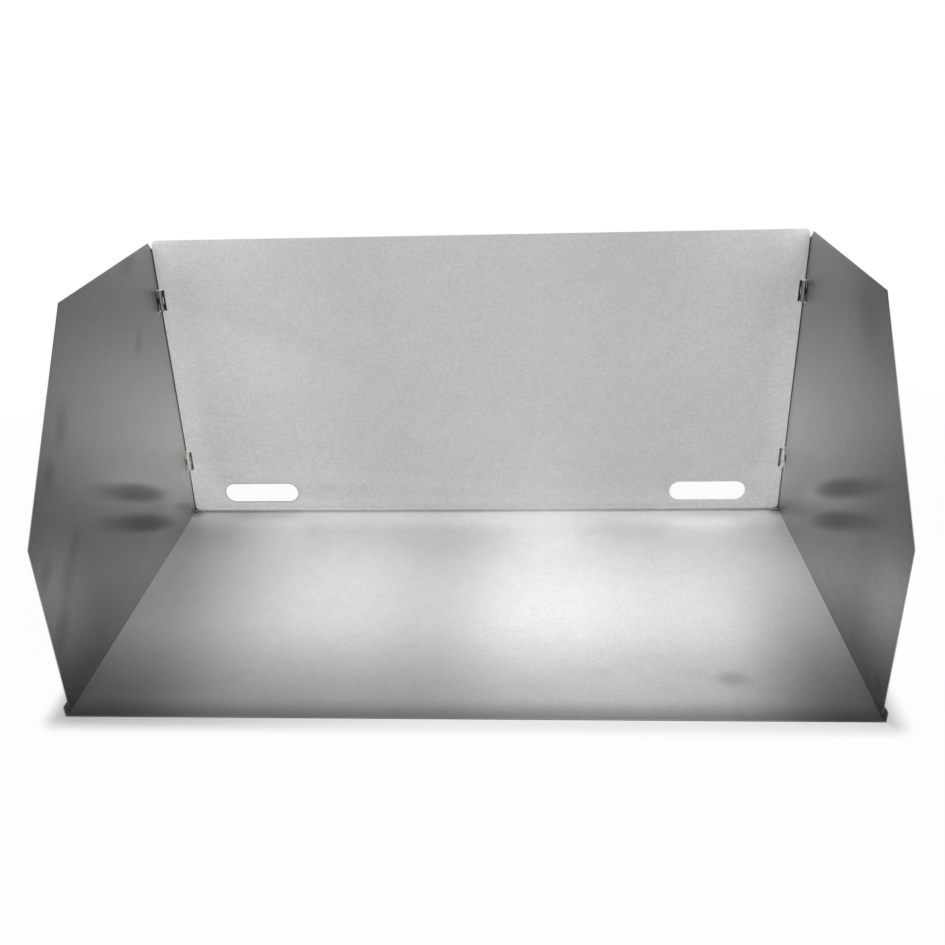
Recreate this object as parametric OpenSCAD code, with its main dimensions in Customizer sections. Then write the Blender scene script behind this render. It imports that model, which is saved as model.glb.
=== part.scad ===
// Folding sheet-metal windscreen for a table-top camp stove.
// A back panel and two hinged wings stand in a shallow drip tray, open to the front (-Y).
// Millimetres, +Z up, origin under the middle of the tray.

/* [Sheet metal] */
// Thickness of the back panel and the wings
sheet_t = 0.6; // [0.4:0.1:1.2]
// Thickness of the tray
tray_t = 0.6; // [0.4:0.1:1.2]
// Inside radius of every bend
bend_r = 0.5; // [0.3:0.1:1]

/* [Back panel] */
// Width of the back panel
back_w = 500; // [420:1:600]
// Height of the back panel
back_h = 234.5; // [180:0.5:300]
// Radius of the back panel's corners
back_corner_r = 4; // [1:0.5:10]
// Gap between the tray's floor and the back panel's lower edge
back_foot_gap = 1.4; // [1:0.1:3]

/* [Vent slots] */
// Length of a vent slot over its round ends
slot_l = 63; // [30:1:90]
// Height of a vent slot
slot_h = 17; // [8:0.5:22]
// Distance between the middles of the two vent slots
slot_pitch = 380; // [200:1:400]
// Height of the slots' middle above the back panel's lower edge
slot_rise = 16.5; // [15:0.5:28]

/* [Wings] */
// Drop of a wing's top edge below the back panel's top edge
wing_drop = 0.7; // [0:0.1:5]
// Depth of a wing, from the back panel's face to the front edge
wing_d = 267; // [220:1:320]
// Length of a wing's level top edge, from the back panel's face
wing_top_l = 166; // [100:1:210]
// Height of a wing's front edge
wing_front_h = 117; // [60:1:160]
// Chamfer at a wing's upper rear corner
wing_rear_cut = 5.5; // [2:0.5:10]
// Radius of a wing's front corners
wing_corner_r = 2; // [0.5:0.5:8]
// Gap between the back panel's side edge and a wing's inner face
seam_gap = 0.6; // [0.4:0.1:2]
// Gap between the tray's floor and a wing's lower edge
wing_foot_gap = 0.2; // [0.1:0.1:1]

/* [Stop flanges] */
// Width of the flange that turns in behind the back panel and stops a wing
stop_w = 7; // [3:0.5:12]
// Gap between the stop flange and the back panel's rear face
stop_gap = 0.3; // [0.2:0.1:1]

/* [Hinges] */
// Length of a hinge's barrel
hinge_l = 15.5; // [12:0.5:30]
// Distance of a hinge's middle from the back panel's nearest level edge
hinge_inset = 47; // [40:1:80]
// Width of a hinge leaf, from the pin's axis
leaf_w = 20; // [12:0.5:30]
// Thickness of a hinge leaf
leaf_t = 0.6; // [0.5:0.1:1]
// Radius of a leaf's outer corners
leaf_corner_r = 2; // [0.5:0.5:4]
// Diameter of a hinge pin
pin_d = 2.8; // [2:0.1:4]
// Radial clearance of a pin in its knuckles
pin_clear = 0.05; // [0.02:0.01:0.08]
// Gap between neighbouring knuckles of a hinge
knuckle_gap = 0.3; // [0.2:0.1:0.6]
// Diameter of a pin's upset heads
pin_head_d = 3.8; // [3.6:0.1:4.6]
// Height of a pin's upset heads
pin_head_h = 0.5; // [0.3:0.1:0.7]
// Gap between a hinge's barrel and the edge of the notch in the back panel
notch_gap = 1.5; // [0.6:0.1:2]
// Depth of the notch in a wing, from the pin's axis
wing_notch_d = 7; // [4:0.5:12]
// Gap in the sheets above and below a hinge's barrel, where the pin's heads sit
notch_end = 0.7; // [0.7:0.1:2]

/* [Tray] */
// Reach of the tray's floor past the wings' front edges
tray_front = 3.4; // [1:0.2:20]
// Height of the lips above the tray's underside
lip_h = 7; // [4:0.5:9]
// Gap between a wing's outer face and the start of the side lip's bend
lip_clear = 0.1; // [0.1:0.1:1]
// Gap between the back panel's rear face and the rear lip
rear_clear = 0.4; // [0.3:0.1:1.5]
// Gap between an end of the rear lip and the stop flange beside it
lip_end_gap = 1; // [1:0.5:6]

/* [Hidden] */

// Overshoot of every cut
over = 1;
// Facets of a sheet corner's arc
arc_steps = 6;
$fn = 48;

// Levels
floor_z = tray_t;
back_z = floor_z + back_foot_gap;
wing_z = floor_z + wing_foot_gap;
wing_top_z = back_z + back_h - wing_drop;
lower_hinge_z = back_z + hinge_inset;
upper_hinge_z = back_z + back_h - hinge_inset;

// From front to rear
tray_d = tray_front + wing_d + sheet_t + rear_clear + tray_t;
front_y = -tray_d / 2;
rear_lip_y = tray_d / 2 - tray_t;
back_rear_y = rear_lip_y - rear_clear;
back_y = back_rear_y - sheet_t;
stop_y = back_rear_y + stop_gap;

// From the middle outwards, on the right-hand side
wing_in_x = back_w / 2 + seam_gap;
wing_out_x = wing_in_x + sheet_t;
stop_in_x = wing_out_x - stop_w;
floor_x = wing_out_x + lip_clear;
rear_lip_x = stop_in_x - lip_end_gap;
corner_relief = floor_x - rear_lip_x;

// Hinge axis: both leaves lie on the sheets' outer faces and roll in to the knuckles
bore_r = pin_d / 2 + pin_clear;
knuckle_r = bore_r + leaf_t;
axis_x = wing_out_x + leaf_t - knuckle_r;
axis_y = back_rear_y + leaf_t - knuckle_r;
knuckle_l = (hinge_l - 2 * knuckle_gap) / 3;
notch_h = hinge_l + 2 * notch_end;
// A leaf's plate is as long as the pin over its heads, and its edge clears the other leaf's knuckles
leaf_l = hinge_l + 2 * pin_head_h;
leaf_edge_x = -sqrt(pow(knuckle_r + knuckle_gap, 2) - pow(bore_r, 2));
back_notch_x = axis_x - knuckle_r - notch_gap;
wing_notch_y = axis_y - wing_notch_d;

back_colour = [0.75, 0.75, 0.75];
wing_colour = [0.48, 0.48, 0.48];
tray_colour = [0.64, 0.64, 0.64];
hinge_colour = [0.56, 0.56, 0.56];
pin_colour = [0.82, 0.82, 0.82];

function unit(v) = v / norm(v);
function heading(v) = atan2(v[1], v[0]);

// Points of the arc of radius r that rounds corner p between its neighbours a and b
function corner_arc(a, p, b, r) =
    let (
        u = unit(a - p),
        v = unit(b - p),
        half = acos(u * v) / 2,
        centre = p + unit(u + v) * r / sin(half),
        from = heading(p + u * r / tan(half) - centre),
        swing = heading(p + v * r / tan(half) - centre) - from,
        turn = swing > 180 ? swing - 360 : swing < -180 ? swing + 360 : swing
    )
    [for (i = [0:arc_steps]) centre + r * [cos(from + turn * i / arc_steps), sin(from + turn * i / arc_steps)]];

// Outline with a radius for each corner, where 0 keeps the corner sharp
function rounded(points, radii) =
    let (n = len(points))
    [for (i = [0:n - 1])
        each radii[i] == 0
            ? [points[i]]
            : corner_arc(points[(i + n - 1) % n], points[i], points[(i + 1) % n], radii[i])];

// Section of a bend: the floor ends at 0, the lip rises to height h
module bend_section(t, h) {
    centre = bend_r + t;
    difference() {
        translate([0, centre]) circle(centre);
        translate([0, centre]) circle(bend_r);
        translate([-2 * centre, -over]) square([2 * centre, 2 * centre + 2 * over]);
        translate([-2 * centre, centre]) square([4 * centre, centre + over]);
    }
    translate([bend_r, centre]) square([t, h - centre]);
}

// Children as drawn for the right-hand side, or mirrored to the left for side -1
module mirrored(side) {
    flip = side < 0 ? 1 : 0;
    mirror([flip, 0, 0]) children();
}

// Tray: floor with round rear corners and lips along the sides and the rear
module tray() {
    floor_rear_y = rear_lip_y - bend_r;
    side_lip_l = floor_rear_y - corner_relief - front_y;
    color(tray_colour) {
        linear_extrude(tray_t)
            polygon(rounded(
                [[-floor_x, front_y], [floor_x, front_y], [floor_x, floor_rear_y], [-floor_x, floor_rear_y]],
                [0, 0, corner_relief, corner_relief]));
        for (side = [-1, 1])
            mirrored(side)
                translate([floor_x, front_y + side_lip_l, 0])
                    rotate([90, 0, 0])
                        linear_extrude(side_lip_l) bend_section(tray_t, lip_h);
        translate([-rear_lip_x, floor_rear_y, 0])
            rotate([90, 0, 90])
                linear_extrude(2 * rear_lip_x) bend_section(tray_t, lip_h);
    }
}

// Back panel: flat sheet with two vent slots and a notch for each hinge barrel
module back_panel() {
    color(back_colour)
        translate([0, back_rear_y, back_z])
            rotate([90, 0, 0])
                linear_extrude(sheet_t)
                    difference() {
                        polygon(rounded(
                            [[-back_w / 2, 0], [back_w / 2, 0], [back_w / 2, back_h], [-back_w / 2, back_h]],
                            [for (i = [0:3]) back_corner_r]));
                        for (side = [-1, 1]) {
                            translate([side * slot_pitch / 2, slot_rise]) slot();
                            for (z = [hinge_inset, back_h - hinge_inset])
                                mirrored(side)
                                    translate([back_notch_x, z - notch_h / 2])
                                        square([back_w / 2 - back_notch_x + over, notch_h]);
                        }
                    }
}

// Vent slot with round ends
module slot() {
    flat = slot_l - slot_h;
    square([flat, slot_h], center = true);
    for (end = [-1, 1])
        translate([end * flat / 2, 0]) circle(slot_h / 2);
}

// Right-hand wing: sheet that slopes down to the front, with a stop flange along its rear edge
module wing() {
    sheet_rear_y = stop_y - bend_r;
    color(wing_colour)
        difference() {
            union() {
                translate([wing_in_x, 0, 0])
                    rotate([90, 0, 90])
                        linear_extrude(sheet_t)
                            polygon(rounded(
                                [[sheet_rear_y, wing_z], [sheet_rear_y, wing_top_z - wing_rear_cut],
                                 [sheet_rear_y - wing_rear_cut, wing_top_z],
                                 [back_y - wing_top_l, wing_top_z],
                                 [back_y - wing_d, wing_z + wing_front_h], [back_y - wing_d, wing_z]],
                                [0, 0, 0, wing_corner_r, wing_corner_r, wing_corner_r]));
                translate([wing_out_x, sheet_rear_y, wing_z])
                    linear_extrude(wing_top_z - wing_rear_cut - wing_z)
                        rotate(90) bend_section(sheet_t, stop_w);
            }
            for (z = [lower_hinge_z, upper_hinge_z])
                translate([stop_in_x - over, wing_notch_y, z - notch_h / 2])
                    cube([stop_w + 2 * over, stop_y + sheet_t - wing_notch_y + over, notch_h]);
        }
}

module left_wing() { mirrored(-1) wing(); }
module right_wing() { wing(); }

// Leaf plate in its own plane: the pin's axis at x = 0, the free edge at x = -leaf_w
module leaf_plate(reach) {
    linear_extrude(leaf_t)
        polygon(rounded(
            [[-leaf_w, -leaf_l / 2], [leaf_edge_x, -leaf_l / 2], [leaf_edge_x, leaf_l / 2], [-leaf_w, leaf_l / 2]],
            [leaf_corner_r, 0, 0, leaf_corner_r]));
    for (z = reach)
        translate([leaf_edge_x, z - knuckle_l / 2, 0])
            cube([-leaf_edge_x, knuckle_l, leaf_t]);
}

// Leaf with rolled knuckles at the heights in reach, its outer face tangent to the knuckles
module leaf(reach) {
    color(hinge_colour)
        difference() {
            union() {
                translate([0, knuckle_r - leaf_t, 0])
                    mirror([0, 1, 0])
                        rotate([90, 0, 0]) leaf_plate(reach);
                for (z = reach)
                    translate([0, 0, z - knuckle_l / 2]) cylinder(r = knuckle_r, h = knuckle_l);
            }
            for (z = reach)
                translate([0, 0, z - knuckle_l / 2 - over]) cylinder(r = bore_r, h = knuckle_l + 2 * over);
        }
}

// Place of a hinge, seen from its axis
module at_hinge(side, z) {
    mirrored(side)
        translate([axis_x, axis_y, z])
            children();
}

// Leaf on the back panel's rear face, with the upper and lower knuckles
module back_leaf(side, z) {
    outer = knuckle_l + knuckle_gap;
    at_hinge(side, z) leaf([-outer, outer]);
}

// Leaf on a wing's outer face, with the middle knuckle
module wing_leaf(side, z) {
    at_hinge(side, z)
        mirror([1, -1, 0]) leaf([0]);
}

// Hinge pin with an upset head at each end
module hinge_pin(side, z) {
    color(pin_colour)
        at_hinge(side, z) {
            cylinder(d = pin_d, h = hinge_l, center = true);
            for (end = [-1, 1])
                translate([0, 0, end * (hinge_l + pin_head_h) / 2])
                    cylinder(d = pin_head_d, h = pin_head_h, center = true);
        }
}

tray();
back_panel();
left_wing();
right_wing();
back_leaf(-1, upper_hinge_z);  // left_upper_hinge_back_leaf
wing_leaf(-1, upper_hinge_z);  // left_upper_hinge_wing_leaf
hinge_pin(-1, upper_hinge_z);  // left_upper_hinge_pin
back_leaf(-1, lower_hinge_z);  // left_lower_hinge_back_leaf
wing_leaf(-1, lower_hinge_z);  // left_lower_hinge_wing_leaf
hinge_pin(-1, lower_hinge_z);  // left_lower_hinge_pin
back_leaf(1, upper_hinge_z);  // right_upper_hinge_back_leaf
wing_leaf(1, upper_hinge_z);  // right_upper_hinge_wing_leaf
hinge_pin(1, upper_hinge_z);  // right_upper_hinge_pin
back_leaf(1, lower_hinge_z);  // right_lower_hinge_back_leaf
wing_leaf(1, lower_hinge_z);  // right_lower_hinge_wing_leaf
hinge_pin(1, lower_hinge_z);  // right_lower_hinge_pin
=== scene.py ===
from math import pi, radians

import bmesh
import bpy
from mathutils import Euler, Matrix, Vector


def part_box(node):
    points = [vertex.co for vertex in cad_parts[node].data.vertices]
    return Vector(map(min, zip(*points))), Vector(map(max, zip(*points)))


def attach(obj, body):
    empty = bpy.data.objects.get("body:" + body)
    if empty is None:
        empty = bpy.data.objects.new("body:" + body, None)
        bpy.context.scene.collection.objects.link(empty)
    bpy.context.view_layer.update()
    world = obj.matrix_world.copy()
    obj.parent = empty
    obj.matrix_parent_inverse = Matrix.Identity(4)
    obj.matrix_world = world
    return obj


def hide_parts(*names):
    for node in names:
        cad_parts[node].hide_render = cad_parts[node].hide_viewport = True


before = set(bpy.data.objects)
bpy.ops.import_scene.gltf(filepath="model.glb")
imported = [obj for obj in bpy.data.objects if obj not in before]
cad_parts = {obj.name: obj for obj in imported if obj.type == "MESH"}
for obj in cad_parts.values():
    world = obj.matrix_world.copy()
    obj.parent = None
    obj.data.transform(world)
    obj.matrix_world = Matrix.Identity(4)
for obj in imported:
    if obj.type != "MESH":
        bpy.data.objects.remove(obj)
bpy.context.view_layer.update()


# Drip tray
# One thin steel sheet, press-braked: a flat floor with the two sides and the rear edge turned up into low
# lips. The rear corners are cut round, so that the bends can't crack. The folding screen stands in it.
MM = 0.001
SAME_POINT = 1e-6
FLAT_WITHIN = radians(0.4)
CUT_EDGE_FROM = radians(40)
CUT_EDGE_EASE = 0.12 * MM
SHARP_FROM = radians(25)


def eased(mesh):
    """Eases every cut edge of a sheet a little, so that it catches the light."""
    form = bmesh.new()
    form.from_mesh(mesh)
    bmesh.ops.remove_doubles(form, verts=form.verts, dist=SAME_POINT)
    bmesh.ops.dissolve_limit(form, angle_limit=FLAT_WITHIN, verts=form.verts, edges=form.edges)
    cut_edges = [edge for edge in form.edges
                 if len(edge.link_faces) == 2 and edge.calc_face_angle() > CUT_EDGE_FROM]
    bmesh.ops.bevel(form, geom=cut_edges, offset=CUT_EDGE_EASE, offset_type="OFFSET", segments=2,
                    profile=0.6, affect="EDGES", clamp_overlap=True)
    form.to_mesh(mesh)
    form.free()


def put_in_place(mesh, piece, body, finish, nodes):
    """The finished piece, at the origin with its place in its mesh, riding where its nodes ride."""
    mesh.name = piece
    mesh.shade_smooth()
    mesh.set_sharp_from_angle(angle=SHARP_FROM)
    mesh.materials.clear()
    mesh.materials.append(finish)
    made = bpy.data.objects.new(piece, mesh)
    bpy.context.scene.collection.objects.link(made)
    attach(made, body)
    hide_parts(*nodes)


class FinishNodes:
    """The node tree of one finish, with short ways to add what the finishes share."""

    def __init__(self, name):
        self.material = bpy.data.materials.new(name)
        self.material.use_nodes = True
        self.nodes = self.material.node_tree.nodes
        self.links = self.material.node_tree.links
        self.surface = self.nodes["Principled BSDF"]
        self.coords = self.nodes.new("ShaderNodeTexCoord").outputs["Object"]
        place = self.nodes.new("ShaderNodeSeparateXYZ")
        self.links.new(self.coords, place.inputs[0])
        self.x, self.y, self.z = place.outputs

    def noise(self, stretch, detail, roughness=0.5, offset=(0.0, 0.0, 0.0)):
        mapping = self.nodes.new("ShaderNodeMapping")
        mapping.inputs["Scale"].default_value = stretch
        mapping.inputs["Location"].default_value = offset
        texture = self.nodes.new("ShaderNodeTexNoise")
        texture.inputs["Scale"].default_value = 1.0
        texture.inputs["Detail"].default_value = detail
        texture.inputs["Roughness"].default_value = roughness
        self.links.new(self.coords, mapping.inputs["Vector"])
        self.links.new(mapping.outputs["Vector"], texture.inputs["Vector"])
        return texture.outputs["Fac"]

    def maths(self, operation, *values):
        node = self.nodes.new("ShaderNodeMath")
        node.operation = operation
        for socket, value in zip(node.inputs, values):
            if isinstance(value, (int, float)):
                socket.default_value = value
            else:
                self.links.new(value, socket)
        return node.outputs["Value"]

    def swing(self, middle, *parts):
        """A value about a middle, with a share of each pattern (they average one half) added to it."""
        total = middle
        for pattern, share in parts:
            total = self.maths("ADD", total, self.maths("MULTIPLY_ADD", pattern, share, -0.5 * share))
        return total

    def times(self, first, *others):
        for other in others:
            first = self.maths("MULTIPLY", first, other)
        return first

    def rest_of(self, mask):
        return self.maths("SUBTRACT", 1.0, mask)

    def size_of(self, value):
        return self.maths("ABSOLUTE", value)

    def length(self, across, along):
        """The length of a step, from its two parts."""
        return self.maths("SQRT", self.maths("ADD", self.times(across, across), self.times(along, along)))

    def past(self, value, edge):
        """How far a value lies past an edge, and 0 before it."""
        return self.maths("MAXIMUM", self.maths("SUBTRACT", value, edge), 0.0)

    def fade(self, value, start, end, steady=False):
        """0 before start, 1 after end, smooth or at a steady rate between."""
        node = self.nodes.new("ShaderNodeMapRange")
        node.interpolation_type = "LINEAR" if steady else "SMOOTHSTEP"
        node.inputs["From Min"].default_value = start
        node.inputs["From Max"].default_value = end
        self.links.new(value, node.inputs["Value"])
        return node.outputs["Result"]

    def stripe(self, value, middle, reach, core=0.0):
        """A soft stripe across a sheet: 1 on its core, 0 from its reach on."""
        return self.fade(self.size_of(self.maths("SUBTRACT", value, middle)), reach, core)

    def patch(self, u, v, middle, reach, tilt=0.0, soft=0.9):
        """A soft oval mark on a sheet: 1 in the middle, 0 outside, its long axis turned by tilt."""
        from_u = self.maths("SUBTRACT", u, middle[0])
        from_v = self.maths("SUBTRACT", v, middle[1])
        turned_v = self.maths("SUBTRACT", from_v, self.maths("MULTIPLY", from_u, tilt))
        far = self.length(self.maths("DIVIDE", from_u, reach[0]), self.maths("DIVIDE", turned_v, reach[1]))
        return self.fade(far, 1.0, 1.0 - soft)

    def blend(self, factor, first, second, mode="MIX"):
        node = self.nodes.new("ShaderNodeMix")
        node.data_type = "RGBA"
        node.blend_type = mode
        for socket, value in ((node.inputs[0], factor), (node.inputs[6], first), (node.inputs[7], second)):
            if isinstance(value, (tuple, int, float)):
                socket.default_value = value
            else:
                self.links.new(value, socket)
        return node.outputs[2]

    def bump(self, height, distance, strength=1.0, under=None):
        node = self.nodes.new("ShaderNodeBump")
        node.inputs["Distance"].default_value = distance
        node.inputs["Strength"].default_value = strength
        self.links.new(height, node.inputs["Height"])
        if under is not None:
            self.links.new(under, node.inputs["Normal"])
        return node.outputs["Normal"]


def grey(value, warmth=0.0):
    """A grey colour, with more red and less blue where warmth is above 0."""
    return (value * (1 + warmth), value, value * (1 - warmth), 1.0)


class SatinSteel(FinishNodes):
    """Cold-rolled satin steel: cloudy and mottled, with fine streaks and flecks along the rolling."""

    def __init__(self, name, bright, metallic, rough, grain_stretch, grain,
                 wave_stretch, wave_height, fleck=1.0):
        super().__init__(name)
        clouds = self.noise((9, 9, 9), detail=3)
        mottle = self.noise((75, 75, 75), detail=5, roughness=0.6)
        streaks = self.noise(grain_stretch, detail=3, roughness=0.6)
        fleck_stretch = [400 + 0.22 * stretch for stretch in grain_stretch]
        flecks = self.noise(fleck_stretch, detail=2, roughness=0.6, offset=(0.7, 2.3, 1.9))
        tone = self.swing(0.5, (clouds, 0.5), (mottle, 0.7), (streaks, 0.6 * grain), (flecks, fleck))
        self.colour = self.blend(tone, grey(bright * 0.9, warmth=0.002), grey(bright * 1.1))
        self.rough = self.swing(rough, (clouds, 0.08), (mottle, 0.06), (streaks, 0.10 * grain))
        waves = self.noise(wave_stretch, detail=2, offset=(3.1, 1.7, 0.4))
        wavy = self.bump(waves, distance=wave_height)
        self.normal = self.bump(streaks, distance=0.04 * MM, strength=0.25 * grain, under=wavy)
        self.surface.inputs["Metallic"].default_value = metallic

    def shade(self, mask, factor, warmth=0.0):
        """Multiplies the colour by a grey or warm grey factor where the mask is 1."""
        toned = self.blend(1.0, self.colour, grey(factor, warmth), "MULTIPLY")
        self.colour = self.blend(mask, self.colour, toned)

    def finished(self):
        self.links.new(self.colour, self.surface.inputs["Base Color"])
        self.links.new(self.rough, self.surface.inputs["Roughness"])
        self.links.new(self.normal, self.surface.inputs["Normal"])
        return self.material


tray_steel = SatinSteel("tray_satin_steel", bright=0.72, metallic=0.5, rough=0.46,
                        grain_stretch=(500, 900, 900), grain=0.35,
                        wave_stretch=(9, 2.5, 4), wave_height=0.4 * MM, fleck=1.5)
side_x = tray_steel.size_of(tray_steel.x)
# Painted reflection makes paler and darker tracks from front to rear, and painted highlights make pale spots
# at the rear
painted_reflection_tracks = ((-0.130, 0.085, 1.17), (-0.028, 0.060, 0.85), (0.060, 0.080, 1.14))
for middle, reach, factor in painted_reflection_tracks:
    tray_steel.shade(tray_steel.stripe(tray_steel.x, middle, reach), factor)
painted_highlight_spots = (((0.055, 0.098), (0.055, 0.060), 1.16), ((-0.020, 0.118), (0.080, 0.045), 1.20),
              ((0.180, 0.118), (0.085, 0.040), 1.16))
for middle, reach, factor in painted_highlight_spots:
    tray_steel.shade(tray_steel.patch(tray_steel.x, tray_steel.y, middle, reach, soft=1.0), factor)
# The rear is painted paler, as a painted reflection of the back panel
painted_reflection_rear = tray_steel.fade(tray_steel.y, 0.095, 0.125)
tray_steel.shade(painted_reflection_rear, 1.26)
# Spills leave three drops. Painted shade and dark reflection darken the front, most in its corners, at its
# edge and on the left
front = tray_steel.fade(tray_steel.y, -0.025, -0.140)
painted_shade_front_edge = tray_steel.fade(tray_steel.y, -0.116, -0.137)
# A painted pool of light pales the front right of the middle
painted_light_front = tray_steel.patch(tray_steel.x, tray_steel.y, (0.115, -0.120), (0.080, 0.050), soft=1.0)
painted_shade_left_front = tray_steel.times(front, tray_steel.fade(tray_steel.x, -0.02, -0.12))
painted_shade_front_corners = tray_steel.times(front, tray_steel.fade(side_x, 0.15, 0.24))
# Painted shade darkens the right side and the left rear
painted_shade_right_side = tray_steel.times(tray_steel.fade(tray_steel.y, 0.06, -0.06),
                              tray_steel.fade(tray_steel.x, 0.170, 0.235))
painted_shade_left_rear = tray_steel.patch(tray_steel.x, tray_steel.y, (-0.215, 0.100), (0.060, 0.050), soft=1.0)
for mask, factor in ((front, 0.80), (painted_shade_front_edge, 0.52), (painted_light_front, 1.14), (painted_shade_left_front, 0.75),
                     (painted_shade_front_corners, 0.45), (painted_shade_right_side, 0.66), (painted_shade_left_rear, 0.84)):
    tray_steel.shade(mask, factor)
drops = (((0.169, -0.096), (0.017, 0.011), 0.72), ((0.148, -0.091), (0.012, 0.007), 0.94),
         ((0.085, -0.090), (0.014, 0.008), 0.92))
for middle, reach, factor in drops:
    tray_steel.shade(tray_steel.patch(tray_steel.x, tray_steel.y, middle, reach), factor)
# A painted highlight draws a bright line along each side, where the wings' feet stand
painted_highlight_line = tray_steel.fade(side_x, 0.2485, 0.2500)
tray_steel.shade(painted_highlight_line, 1.08)
# Painted shade lies under the foot of the screen, along the rear lip and darkest in its corners
painted_shade_rear_strip = tray_steel.fade(tray_steel.y, 0.1290, 0.1335)
painted_shade_rear_corners = tray_steel.times(tray_steel.fade(tray_steel.y, 0.120, 0.134),
                                tray_steel.fade(side_x, 0.238, 0.248))
tray_steel.shade(painted_shade_rear_strip, 0.62)
tray_steel.shade(painted_shade_rear_corners, 0.40)
tray_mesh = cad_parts["tray"].data.copy()
eased(tray_mesh)
put_in_place(tray_mesh, "drip_tray", "tray", tray_steel.finished(), ["tray"])


# Back panel
# A flat blank of the same sheet with rounded corners and two vent slots, punched in one go, and notches in
# its side edges where the hinge knuckles sit. The matt side of the sheet faces the stove.
class FittingTree:
    """A geometry tree for one kind of piece, with a named input for each of its sizes."""

    def __init__(self, name, sizes):
        self.group = bpy.data.node_groups.new(name, "GeometryNodeTree")
        face = self.group.interface
        self.keys = {"Seats": face.new_socket("Seats", in_out="INPUT", socket_type="NodeSocketGeometry")}
        for size in sizes:
            self.keys[size] = face.new_socket(size, in_out="INPUT", socket_type="NodeSocketFloat")
        self.keys["Finish"] = face.new_socket("Finish", in_out="INPUT", socket_type="NodeSocketMaterial")
        face.new_socket("Pieces", in_out="OUTPUT", socket_type="NodeSocketGeometry")
        self.entry = self.group.nodes.new("NodeGroupInput")
        self.exit = self.group.nodes.new("NodeGroupOutput")

    def __getitem__(self, size):
        return self.entry.outputs[size]

    def add(self, kind, inputs, output=0, **settings):
        node = self.group.nodes.new(kind)
        for key, value in settings.items():
            setattr(node, key, value)
        for key, value in inputs.items():
            for one in value if isinstance(value, list) else [value]:
                if isinstance(one, bpy.types.NodeSocket):
                    self.group.links.new(one, node.inputs[key])
                else:
                    node.inputs[key].default_value = one
        return node.outputs[output]

    def maths(self, operation, *values):
        return self.add("ShaderNodeMath", dict(enumerate(values)), operation=operation)

    def times(self, first, second):
        return self.maths("MULTIPLY", first, second)

    def less(self, first, second):
        return self.maths("SUBTRACT", first, second)

    def plus(self, first, second):
        return self.maths("ADD", first, second)

    def vector(self, x=0.0, y=0.0, z=0.0):
        return self.add("ShaderNodeCombineXYZ", {"X": x, "Y": y, "Z": z})

    def place_x(self):
        """The first coordinate of each point."""
        return self.add("ShaderNodeSeparateXYZ", {0: self.add("GeometryNodeInputPosition", {})})

    def rectangle(self, width, height):
        return self.add("GeometryNodeCurvePrimitiveQuadrilateral", {"Width": width, "Height": height})

    def line(self, start, end):
        return self.add("GeometryNodeCurvePrimitiveLine", {"Start": start, "End": end})

    def move(self, geometry, place=(0, 0, 0), turn=(0, 0, 0)):
        return self.add("GeometryNodeTransform", {
            "Geometry": geometry, "Translation": place, "Rotation": turn})

    def plate(self, outline, thickness):
        """A closed plate from a flat outline, thickened upwards."""
        faces = self.add("GeometryNodeFillCurve", {"Curve": outline}, mode="NGONS")
        top = self.add("GeometryNodeExtrudeMesh", {
            "Mesh": faces, "Offset": (0, 0, 1), "Offset Scale": thickness, "Individual": False}, mode="FACES")
        below = self.add("GeometryNodeFlipFaces", {"Mesh": faces})
        both = self.add("GeometryNodeJoinGeometry", {"Geometry": [top, below]})
        return self.add("GeometryNodeMergeByDistance", {"Geometry": both, "Distance": SAME_POINT})

    def cut(self, body, tools):
        return self.add("GeometryNodeMeshBoolean", {0: body, 1: tools},
                        operation="DIFFERENCE", solver="EXACT")

    def union(self, bodies):
        return self.add("GeometryNodeMeshBoolean", {1: bodies}, operation="UNION", solver="EXACT")

    def at_seats(self, piece, turn=None):
        """The piece at every seat, as one plain mesh in its finish."""
        inputs = {"Points": self["Seats"], "Instance": piece}
        if turn is not None:
            inputs["Rotation"] = turn
        placed = self.add("GeometryNodeInstanceOnPoints", inputs)
        real = self.add("GeometryNodeRealizeInstances", {"Geometry": placed})
        done = self.add("GeometryNodeSetMaterial", {"Geometry": real, "Material": self["Finish"]})
        self.group.links.new(done, self.exit.inputs["Pieces"])

    def made(self, seats, sizes, finish):
        """A plain mesh of the pieces at these seats, each a place and a turn."""
        mesh = bpy.data.meshes.new("seats")
        mesh.from_pydata([place for place, turn in seats], [], [])
        turns = mesh.attributes.new("turn", "FLOAT_VECTOR", "POINT")
        for row, (place, turn) in zip(turns.data, seats):
            row.vector = turn
        carrier = bpy.data.objects.new("seats", mesh)
        bpy.context.scene.collection.objects.link(carrier)
        maker = carrier.modifiers.new("maker", "NODES")
        maker.node_group = self.group
        for size, value in sizes.items():
            maker[self.keys[size].identifier] = value
        maker[self.keys["Finish"].identifier] = finish
        depsgraph = bpy.context.evaluated_depsgraph_get()
        plain = bpy.data.meshes.new_from_object(carrier.evaluated_get(depsgraph))
        carrier.modifiers.remove(maker)
        bpy.data.objects.remove(carrier)
        return plain


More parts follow.
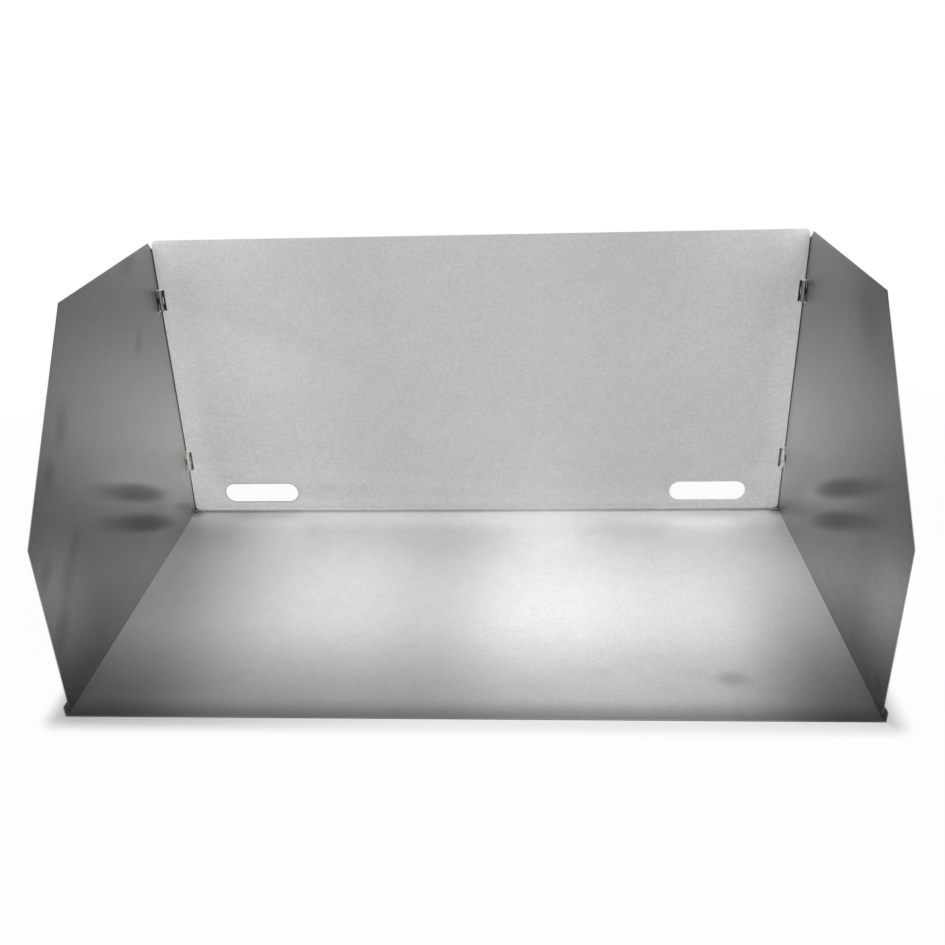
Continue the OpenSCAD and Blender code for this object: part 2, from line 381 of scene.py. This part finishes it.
blank = FittingTree("slotted_blank", [
    "Width", "Height", "Thickness", "Corner Radius", "Slot Length", "Slot Height", "Slot Pitch", "Slot Rise",
    "Notch Depth", "Notch Height", "Notch Inset"])
half_width = blank.times(blank["Width"], 0.5)
half_height = blank.times(blank["Height"], 0.5)
rim = blank.add("GeometryNodeFilletCurve", {
    "Curve": blank.rectangle(blank["Width"], blank["Height"]), "Count": 8,
    "Radius": blank["Corner Radius"]}, mode="POLY")
just_under_half = 0.4999
slot = blank.add("GeometryNodeFilletCurve", {
    "Curve": blank.rectangle(blank["Slot Length"], blank["Slot Height"]), "Count": 12,
    "Radius": blank.times(blank["Slot Height"], just_under_half)}, mode="POLY")
slot_x = blank.times(blank["Slot Pitch"], 0.5)
slot_z = blank.less(blank["Slot Rise"], half_height)
slots = [blank.move(slot, blank.vector(blank.times(slot_x, hand), slot_z)) for hand in (-1.0, 1.0)]
outline = blank.add("GeometryNodeJoinGeometry", {"Geometry": [rim, *slots]})
sheet = blank.plate(outline, blank["Thickness"])
notch = blank.add("GeometryNodeMeshCube", {"Size": blank.vector(
    blank.times(blank["Notch Depth"], 2.0), blank["Notch Height"], blank.times(blank["Thickness"], 4.0))})
notch_z = blank.less(half_height, blank["Notch Inset"])
notches = [blank.move(notch, blank.vector(blank.times(half_width, hand), blank.times(notch_z, up)))
           for hand in (-1.0, 1.0) for up in (-1.0, 1.0)]
blank.at_seats(blank.move(blank.cut(sheet, notches), turn=(radians(90), 0, 0)))

back_steel = SatinSteel("back_satin_steel", bright=0.765, metallic=0.1, rough=0.52,
                        grain_stretch=(25, 900, 900), grain=1.0,
                        wave_stretch=(5, 3, 4), wave_height=0.4 * MM, fleck=1.9)
# The outer side is a little darker. The change lies inside the thickness of the sheet
stove_side = back_steel.fade(back_steel.y, 0.1348, 0.1346)
back_steel.shade(back_steel.rest_of(stove_side), 0.85)
# Painted shade darkens the side towards the stove in the middle and along the top, and a painted highlight
# brightens the rim
painted_shade_middle = back_steel.stripe(back_steel.x, middle=0.015, reach=0.26, core=0.08)
top = back_steel.fade(back_steel.z, 0.130, 0.235)
painted_shade_top_ends = back_steel.times(top, back_steel.stripe(back_steel.x, middle=0.0, reach=0.03, core=0.17))
painted_highlight_rim = back_steel.maths("MAXIMUM", back_steel.stripe(back_steel.x, middle=0.0, reach=0.222, core=0.247),
                              back_steel.fade(back_steel.z, 0.0045, 0.0030))
# A painted dark rim round the left slot stands for the shade of the edge that the punch rolls over
left_slot_x, left_slot_z, half_run = -0.190, 0.0185, 0.023
from_middle = back_steel.size_of(back_steel.maths("SUBTRACT", back_steel.x, left_slot_x))
past_slot = back_steel.past(from_middle, half_run)
above_slot = back_steel.maths("SUBTRACT", back_steel.z, left_slot_z)
painted_shade_slot_rim = back_steel.fade(back_steel.length(past_slot, above_slot), 0.0098, 0.0087)
for mask, factor in ((painted_shade_middle, 0.67), (top, 0.94), (painted_shade_top_ends, 0.90), (painted_highlight_rim, 1.14),
                     (painted_shade_slot_rim, 0.66)):
    back_steel.shade(back_steel.times(stove_side, mask), factor)
back_finish = back_steel.finished()
back_low, back_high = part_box("back_panel")
back_seat = (0.0, back_high.y, 0.5 * (back_low.z + back_high.z))
back_mesh = blank.made([(back_seat, (0, 0, 0))], {
    "Width": back_high.x - back_low.x, "Height": back_high.z - back_low.z,
    "Thickness": back_high.y - back_low.y, "Corner Radius": 4 * MM,
    "Slot Length": 63 * MM, "Slot Height": 17 * MM, "Slot Pitch": 380 * MM, "Slot Rise": 16.5 * MM,
    "Notch Depth": 3.8 * MM, "Notch Height": 16.9 * MM, "Notch Inset": 47 * MM,
}, back_finish)
eased(back_mesh)
put_in_place(back_mesh, "back_sheet", "screen", back_finish, ["back_panel"])


# Wings
# Two mirrored blanks of the same sheet, with a sloped front edge. The rear edge is turned in behind the back
# panel, where it stops the wing at a right angle. The inner faces carry painted reflections and shade, and
# hand marks.
wing_steel = SatinSteel("wing_satin_steel", bright=0.66, metallic=1.0, rough=0.36,
                        grain_stretch=(900, 500, 700), grain=0.6,
                        wave_stretch=(3, 5, 5), wave_height=0.6 * MM, fleck=1.9)
wing_y, wing_z = wing_steel.y, wing_steel.z
on_left = wing_steel.maths("LESS_THAN", wing_steel.x, 0.0)
on_right = wing_steel.rest_of(on_left)
inside = wing_steel.fade(wing_steel.size_of(wing_steel.x), 0.25105, 0.25075)
wing_steel.shade(wing_steel.rest_of(inside), 0.62)
# Painted shade and reflection darken the inner faces towards the front, in bands that run down towards the
# rear, and painted light pales them low down
band_slope = 0.53
band = wing_steel.maths("MULTIPLY_ADD", wing_y, band_slope, wing_z)
for mask, factor in ((wing_steel.fade(wing_y, 0.130, -0.136, steady=True), 0.34),
                     (wing_steel.fade(band, 0.125, 0.245), 0.48), (wing_steel.fade(band, 0.135, 0.060), 0.62),
                     (wing_steel.fade(band, 0.060, 0.015), 1.38)):
    wing_steel.shade(wing_steel.times(inside, mask), factor)
# Two bars of painted reflection, of the vent slots, lie one above the other on each wing, each long and faint
# with a shorter dark core
faint_reach, core_reach = (0.082, 0.0112), (0.060, 0.0108)
faint = 0.58
painted_slot_reflections = ((on_left, 0.015, 0.031, 0.088, 0.48), (on_left, 0.014, 0.035, 0.0625, 0.58),
             (on_right, -0.022, 0.004, 0.088, 0.50), (on_right, -0.024, 0.003, 0.063, 0.56))
for wing, faint_y, core_y, level, dark in painted_slot_reflections:
    for middle, reach, factor in ((faint_y, faint_reach, faint), (core_y, core_reach, dark)):
        bar = wing_steel.patch(wing_y, band, (middle, level), reach, soft=0.75)
        wing_steel.shade(wing_steel.times(inside, wing, bar), factor)
# A painted reflection draws a faint line to the rear corner, painted light keeps the front foot bright, and
# painted shade dulls two places on the right wing
painted_reflection_foot_line = wing_steel.patch(wing_y, band, (0.120, 0.0765), (0.060, 0.0060))
painted_light_front_foot = wing_steel.patch(wing_y, wing_z, (-0.130, 0.050), (0.070, 0.110), soft=1.0)
painted_shade_right_top = wing_steel.patch(wing_y, wing_z, (-0.030, 0.235), (0.090, 0.080), soft=1.0)
painted_shade_right_low = wing_steel.patch(wing_y, wing_z, (0.060, 0.045), (0.130, 0.060), soft=1.0)
for mask, factor in ((painted_reflection_foot_line, 0.70), (painted_light_front_foot, 1.72), (wing_steel.times(on_right, painted_shade_right_top), 0.70),
                     (wing_steel.times(on_right, painted_shade_right_low), 0.84)):
    wing_steel.shade(wing_steel.times(inside, mask), factor)
# Hands leave soft marks near the front edges and the tops
hand_marks = (
    (on_left, 0.167, -0.063, (0.020, 0.014)), (on_left, 0.146, -0.091, (0.014, 0.012)),
    (on_left, 0.094, -0.121, (0.013, 0.013)), (on_left, 0.054, -0.117, (0.018, 0.016)),
    (on_left, 0.078, -0.097, (0.018, 0.017)), (on_left, 0.092, -0.080, (0.013, 0.012)),
    (on_left, 0.173, 0.078, (0.013, 0.012)), (on_left, 0.231, 0.083, (0.010, 0.020)),
    (on_right, 0.213, -0.007, (0.026, 0.030)), (on_right, 0.016, -0.118, (0.008, 0.010)))
for wing, z, y, reach in hand_marks:
    smudge = wing_steel.patch(wing_z, wing_y, (z, y), reach, tilt=0.5)
    wing_steel.shade(wing_steel.times(inside, wing, smudge), 0.78)
wing_finish = wing_steel.finished()
for side in ("left", "right"):
    wing_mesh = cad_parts[f"{side}_wing"].data.copy()
    eased(wing_mesh)
    put_in_place(wing_mesh, f"{side}_wing_sheet", f"{side}_wing", wing_finish, [f"{side}_wing"])


# Hinge leaves
# Stamped strips of bright steel, rolled round the pin at one edge and spot-welded to the outer faces of the
# sheets. The back's leaf has the upper and lower knuckles of a hinge, the wing's leaf the middle one.
leaf = FittingTree("rolled_hinge_leaf", [
    "Leaf Width", "Leaf Length", "Barrel Length", "Thickness", "Knuckle Radius", "Knuckle Gap",
    "Corner Radius", "Roll", "Knuckles", "Weld Radius", "Weld Depth"])
mid_r = leaf.less(leaf["Knuckle Radius"], leaf.times(leaf["Thickness"], 0.5))
bore_r = leaf.less(leaf["Knuckle Radius"], leaf["Thickness"])
clear_r = leaf.plus(leaf["Knuckle Radius"], leaf["Knuckle Gap"])
plate_edge = leaf.maths("SQRT", leaf.less(leaf.times(clear_r, clear_r), leaf.times(bore_r, bore_r)))
both_gaps = leaf.times(leaf["Knuckle Gap"], 2.0)
knuckle_l = leaf.maths("DIVIDE", leaf.less(leaf["Barrel Length"], both_gaps), 3.0)
# The tongue is a flat strip whose path runs straight to the pin and then winds round it
tongue_overlap = 0.4 * MM
neck = leaf.plus(plate_edge, tongue_overlap)
path_l = leaf.plus(neck, leaf.times(mid_r, leaf["Roll"]))
path = leaf.add("GeometryNodeResampleCurve", {
    "Curve": leaf.line((0, 0, 0), leaf.vector(path_l)), "Count": 56}, mode="COUNT")
along = leaf.place_x()
wound = leaf.maths("DIVIDE", leaf.maths("MAXIMUM", leaf.less(along, neck), 0.0), mid_r)
straight = leaf.less(leaf.maths("MINIMUM", along, neck), neck)
roll_x = leaf.plus(straight, leaf.times(mid_r, leaf.maths("SINE", wound)))
roll_y = leaf.times(mid_r, leaf.maths("COSINE", wound))
path = leaf.add("GeometryNodeSetPosition", {"Geometry": path, "Position": leaf.vector(roll_x, roll_y)})
path = leaf.add("GeometryNodeSetCurveNormal", {"Curve": path}, mode="Z_UP")
tongue = leaf.add("GeometryNodeCurveToMesh", {
    "Curve": path, "Profile Curve": leaf.rectangle(leaf["Thickness"], knuckle_l), "Fill Caps": True})
pitch = leaf.plus(knuckle_l, leaf["Knuckle Gap"])
lowest = leaf.times(pitch, leaf.less(1.0, leaf["Knuckles"]))
heights = leaf.add("GeometryNodeMeshLine", {
    "Count": leaf["Knuckles"], "Start Location": leaf.vector(z=lowest),
    "Offset": leaf.vector(z=leaf.times(pitch, 2.0))})
tongues = leaf.add("GeometryNodeRealizeInstances", {
    "Geometry": leaf.add("GeometryNodeInstanceOnPoints", {"Points": heights, "Instance": tongue})})
# The plate is drawn flat, rounded at its free corners, and turned up against the sheet
plate_w = leaf.less(leaf["Leaf Width"], plate_edge)
free_end = leaf.maths("LESS_THAN", leaf.place_x(), 0.0)
plate_outline = leaf.add("GeometryNodeFilletCurve", {
    "Curve": leaf.rectangle(plate_w, leaf["Leaf Length"]), "Count": 6, "Limit Radius": True,
    "Radius": leaf.times(leaf["Corner Radius"], free_end)}, mode="POLY")
plate_x = leaf.times(leaf.plus(leaf["Leaf Width"], plate_edge), -0.5)
plate = leaf.move(leaf.plate(plate_outline, leaf["Thickness"]), leaf.vector(plate_x, leaf["Knuckle Radius"]),
                  turn=(radians(90), 0, 0))
# The welding electrodes leave shallow dents in the outer face
dent_taper, dent_sink = 0.72, 0.96
parts_of_width, parts_of_length = (0.42, 0.80), (-0.24, 0.24)
dent = leaf.add("GeometryNodeMeshCone", {
    "Vertices": 20, "Radius Top": leaf["Weld Radius"], "Depth": leaf["Weld Depth"],
    "Radius Bottom": leaf.times(leaf["Weld Radius"], dent_taper)})
dent = leaf.move(dent, turn=(radians(-90), 0, 0))
dent_y = leaf.less(leaf["Knuckle Radius"], leaf.times(leaf["Weld Depth"], dent_sink))
dents = [leaf.move(dent, leaf.vector(leaf.times(leaf["Leaf Width"], -part), dent_y,
                                     leaf.times(leaf["Leaf Length"], up)))
         for part in parts_of_width for up in parts_of_length]
stored_turn = leaf.add("GeometryNodeInputNamedAttribute", {"Name": "turn"}, data_type="FLOAT_VECTOR")
leaf.at_seats(leaf.cut(leaf.union([plate, tongues]), dents),
              leaf.add("FunctionNodeEulerToRotation", {0: stored_turn}))

leaf_sizes = {"Leaf Width": 20 * MM, "Leaf Length": 16.5 * MM, "Barrel Length": 15.5 * MM,
              "Thickness": 0.6 * MM, "Knuckle Radius": 2.05 * MM, "Knuckle Gap": 0.3 * MM,
              "Corner Radius": 2 * MM, "Roll": radians(300), "Weld Radius": 1.7 * MM, "Weld Depth": 0.16 * MM}
hinge_steel = SatinSteel("hinge_strip_steel", bright=0.58, metallic=1.0, rough=0.34,
                         grain_stretch=(300, 300, 60), grain=1.0,
                         wave_stretch=(20, 20, 20), wave_height=0.1 * MM)
out_x = hinge_steel.size_of(hinge_steel.x)
upper = hinge_steel.fade(hinge_steel.z, 0.110, 0.130)
lower = hinge_steel.fade(hinge_steel.z, 0.130, 0.110)
# Painted shade darkens the leaves behind the knuckles, in the notches of the sheets. The upper knuckles are
# painted darker, and the lower ones get a painted highlight and a warm tint, with painted shade and a little
# rust behind them
painted_shade_behind_back = hinge_steel.times(hinge_steel.fade(hinge_steel.y, 0.1347, 0.13495),
                                hinge_steel.fade(hinge_steel.y, 0.1353, 0.13505))
painted_shade_behind_wing = hinge_steel.times(hinge_steel.fade(out_x, 0.2509, 0.25115),
                                hinge_steel.fade(out_x, 0.2515, 0.25125))
knuckle = hinge_steel.times(hinge_steel.fade(hinge_steel.y, 0.1354, 0.1352),
                            hinge_steel.fade(out_x, 0.2516, 0.2514))
for mask, factor, warmth in ((painted_shade_behind_back, 0.30, 0.0), (painted_shade_behind_wing, 0.62, 0.0),
                             (hinge_steel.times(knuckle, upper), 0.42, 0.0),
                             (hinge_steel.times(knuckle, lower), 1.30, 0.04),
                             (hinge_steel.times(painted_shade_behind_back, lower), 0.72, 0.14)):
    hinge_steel.shade(mask, factor, warmth)
hinge_finish = hinge_steel.finished()


def hinge_place(side, level):
    """Middle of a hinge's pin."""
    low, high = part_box(f"{side}_{level}_hinge_pin")
    return 0.5 * (low + high)


sides, levels = ("left", "right"), ("upper", "lower")
as_drawn, half_turn = Euler((0, 0, 0)), Euler((0, pi, 0))
swap_x_y = Matrix.Rotation(pi, 3, Vector((1, 1, 0)))
back_turns = {"left": half_turn, "right": as_drawn}
wing_turns = {"left": (Matrix.Rotation(pi, 3, "Y") @ swap_x_y).to_euler(), "right": swap_x_y.to_euler()}
back_seats = [(hinge_place(side, level), back_turns[side]) for side in sides for level in levels]
back_leaves = leaf.made(back_seats, {**leaf_sizes, "Knuckles": 2.0}, hinge_finish)
put_in_place(back_leaves, "back_hinge_leaves", "screen", hinge_finish,
             [f"{side}_{level}_hinge_back_leaf" for side in sides for level in levels])
for side in sides:
    wing_seats = [(hinge_place(side, level), wing_turns[side]) for level in levels]
    wing_leaves = leaf.made(wing_seats, {**leaf_sizes, "Knuckles": 1.0}, hinge_finish)
    put_in_place(wing_leaves, f"{side}_wing_hinge_leaves", f"{side}_wing", hinge_finish,
                 [f"{side}_{level}_hinge_wing_leaf" for level in levels])


# Hinge pins
# Bright wire pins, cut to length and peened over to a low dome at both ends. They stay with the back's
# leaves, and the upper ones are painted darker, like the knuckles round them.
pin = FittingTree("peened_pin", ["Pin Radius", "Length", "Head Radius", "Head Height"])
ring_points = 40
half_l = pin.times(pin["Length"], 0.5)
shank_end = pin.vector(z=half_l)
shank = pin.add("GeometryNodeCurveToMesh", {
    "Curve": pin.line(pin.vector(z=pin.times(half_l, -1.0)), shank_end), "Fill Caps": True,
    "Profile Curve": pin.add("GeometryNodeCurvePrimitiveCircle", {
        "Resolution": ring_points, "Radius": pin["Pin Radius"]})})
crown_end = pin.vector(z=pin.plus(half_l, pin["Head Height"]))
crown_path = pin.add("GeometryNodeResampleCurve", {
    "Curve": pin.line(shank_end, crown_end), "Count": 9}, mode="COUNT")
crown_drop = 0.86
rise = pin.add("GeometryNodeSplineParameter", {})
dome = pin.maths("SQRT", pin.less(1.0, pin.times(pin.maths("POWER", rise, 2.0), crown_drop)))
crown = pin.add("GeometryNodeCurveToMesh", {
    "Curve": crown_path, "Scale": dome, "Fill Caps": True,
    "Profile Curve": pin.add("GeometryNodeCurvePrimitiveCircle", {
        "Resolution": ring_points, "Radius": pin["Head Radius"]})})
pin.at_seats(pin.union([shank, crown, pin.move(crown, turn=(pi, 0, 0))]))

pin_steel = SatinSteel("pin_wire_steel", bright=0.74, metallic=1.0, rough=0.20,
                       grain_stretch=(300, 300, 40), grain=1.0,
                       wave_stretch=(20, 20, 20), wave_height=0.1 * MM)
# The upper pins are painted darker
pin_steel.shade(pin_steel.fade(pin_steel.z, 0.110, 0.130), 0.50)
pin_finish = pin_steel.finished()
pin_seats = [(hinge_place(side, level), as_drawn) for side in sides for level in levels]
pins = pin.made(pin_seats, {"Pin Radius": 1.4 * MM, "Length": 15.5 * MM, "Head Radius": 1.9 * MM,
                            "Head Height": 0.5 * MM}, pin_finish)
put_in_place(pins, "hinge_pins", "screen", pin_finish,
             [f"{side}_{level}_hinge_pin" for side in sides for level in levels])


# Floor
# A plain pale studio floor. It looks white from afar, and keeps its own shading close to the tray, where the
# shadow of the sheets lies.
pale = FinishNodes("pale_floor")
rays = pale.nodes.new("ShaderNodeLightPath").outputs
seen = pale.maths("MAXIMUM", pale.maths("MAXIMUM", rays["Is Camera Ray"], rays["Is Glossy Ray"]),
                  rays["Is Transmission Ray"])
tray_half_width, tray_half_depth = 252.4 * MM, 136 * MM
away = pale.length(pale.past(pale.size_of(pale.x), tray_half_width),
                   pale.past(pale.size_of(pale.y), tray_half_depth))
near_share, far_share = 0.95, 0.05
near_white = pale.times(pale.fade(away, 0.002, 0.017), near_share)
all_white = pale.maths("MULTIPLY_ADD", pale.fade(away, 0.03, 0.50), far_share, near_white)
white_share = pale.times(seen, all_white)
pale.nodes.remove(pale.surface)
lit = pale.nodes.new("ShaderNodeBsdfDiffuse")
# Under the tray the floor's colour is painted dark, as a painted shadow
painted_shadow_under_tray, open_floor = grey(0.10), grey(0.92)
past_tray = pale.fade(away, 0.0, 0.0004)
pale.links.new(pale.blend(past_tray, painted_shadow_under_tray, open_floor), lit.inputs["Color"])
white = pale.nodes.new("ShaderNodeEmission")
mixed = pale.nodes.new("ShaderNodeMixShader")
pale.links.new(white_share, mixed.inputs["Fac"])
pale.links.new(lit.outputs[0], mixed.inputs[1])
pale.links.new(white.outputs[0], mixed.inputs[2])
pale.links.new(mixed.outputs[0], pale.nodes["Material Output"].inputs["Surface"])
floor_reach = 30.0
floor_mesh = bpy.data.meshes.new("studio_floor")
floor_mesh.from_pydata([(-floor_reach, -floor_reach, 0), (floor_reach, -floor_reach, 0),
                        (floor_reach, floor_reach, 0), (-floor_reach, floor_reach, 0)], [], [(0, 1, 2, 3)])
floor_mesh.materials.append(pale.material)
floor = bpy.data.objects.new("studio_floor", floor_mesh)
bpy.context.scene.collection.objects.link(floor)
floor.location.z = -0.2 * MM


# Studio light
# One wide softbox stands in front, a little to the right, and a gridded strip light hangs over the tray. The
# room is pale at the horizon and behind, and dim overhead.
world = bpy.data.worlds.new("studio_room")
bpy.context.scene.world = world
world.use_nodes = True
nodes, links = world.node_tree.nodes, world.node_tree.links
direction = nodes.new("ShaderNodeTexCoord")
parts = nodes.new("ShaderNodeSeparateXYZ")
behind = nodes.new("ShaderNodeMath")
behind.operation = "MAXIMUM"
behind.inputs[1].default_value = 0.0
lowered = nodes.new("ShaderNodeMath")
lowered.operation = "MULTIPLY_ADD"
rear_horizon_drop = -0.4
lowered.inputs[1].default_value = rear_horizon_drop
ramp = nodes.new("ShaderNodeValToRGB")
for stop, (height, brightness) in zip(ramp.color_ramp.elements, ((0.30, 1.0), (0.50, 0.06))):
    stop.position = height
    stop.color = grey(brightness)
links.new(direction.outputs["Generated"], parts.inputs[0])
links.new(parts.outputs["Y"], behind.inputs[0])
links.new(behind.outputs[0], lowered.inputs[0])
links.new(parts.outputs["Z"], lowered.inputs[2])
links.new(lowered.outputs[0], ramp.inputs["Fac"])
links.new(ramp.outputs["Color"], nodes["Background"].inputs["Color"])


def area_lamp(name, width, height, power, place, target):
    """A rectangular lamp that faces its target."""
    light = bpy.data.lights.new(name, "AREA")
    light.shape = "RECTANGLE"
    light.size = width
    light.size_y = height
    light.energy = power
    lamp = bpy.data.objects.new(name, light)
    bpy.context.scene.collection.objects.link(lamp)
    lamp.location = place
    aim = Vector(target) - lamp.location
    lamp.rotation_euler = aim.to_track_quat("-Z", "Y").to_euler()
    return lamp


area_lamp("softbox", width=3.2, height=2.0, power=44.0, place=(0.25, -2.0, 1.5), target=(0.0, 0.0, 0.05))
strip = area_lamp("gridded_strip", width=0.40, height=0.10, power=0.305, place=(0.07, 0.01, 0.52),
                  target=(0.07, -0.01, 0.0))
strip.data.spread = radians(38)
strip.visible_glossy = False


# Camera
# Placed where the sheets' corners fall on the same points of the frame as in the photograph.
lens = bpy.data.cameras.new("photo_camera")
lens.sensor_width = 36.0
lens.lens = 37.36
lens.clip_start = 0.01
camera = bpy.data.objects.new("photo_camera", lens)
bpy.context.scene.collection.objects.link(camera)
pitch_up, lean, roll = radians(64.053), radians(2.984), radians(-0.338)
turned = Matrix.Rotation(pitch_up, 4, "X") @ Matrix.Rotation(lean, 4, "Y") @ Matrix.Rotation(roll, 4, "Z")
camera.matrix_world = Matrix.Translation((0.035576, -0.610341, 0.399105)) @ turned
bpy.context.scene.camera = camera

bpy.context.scene.view_settings.view_transform = "Standard"
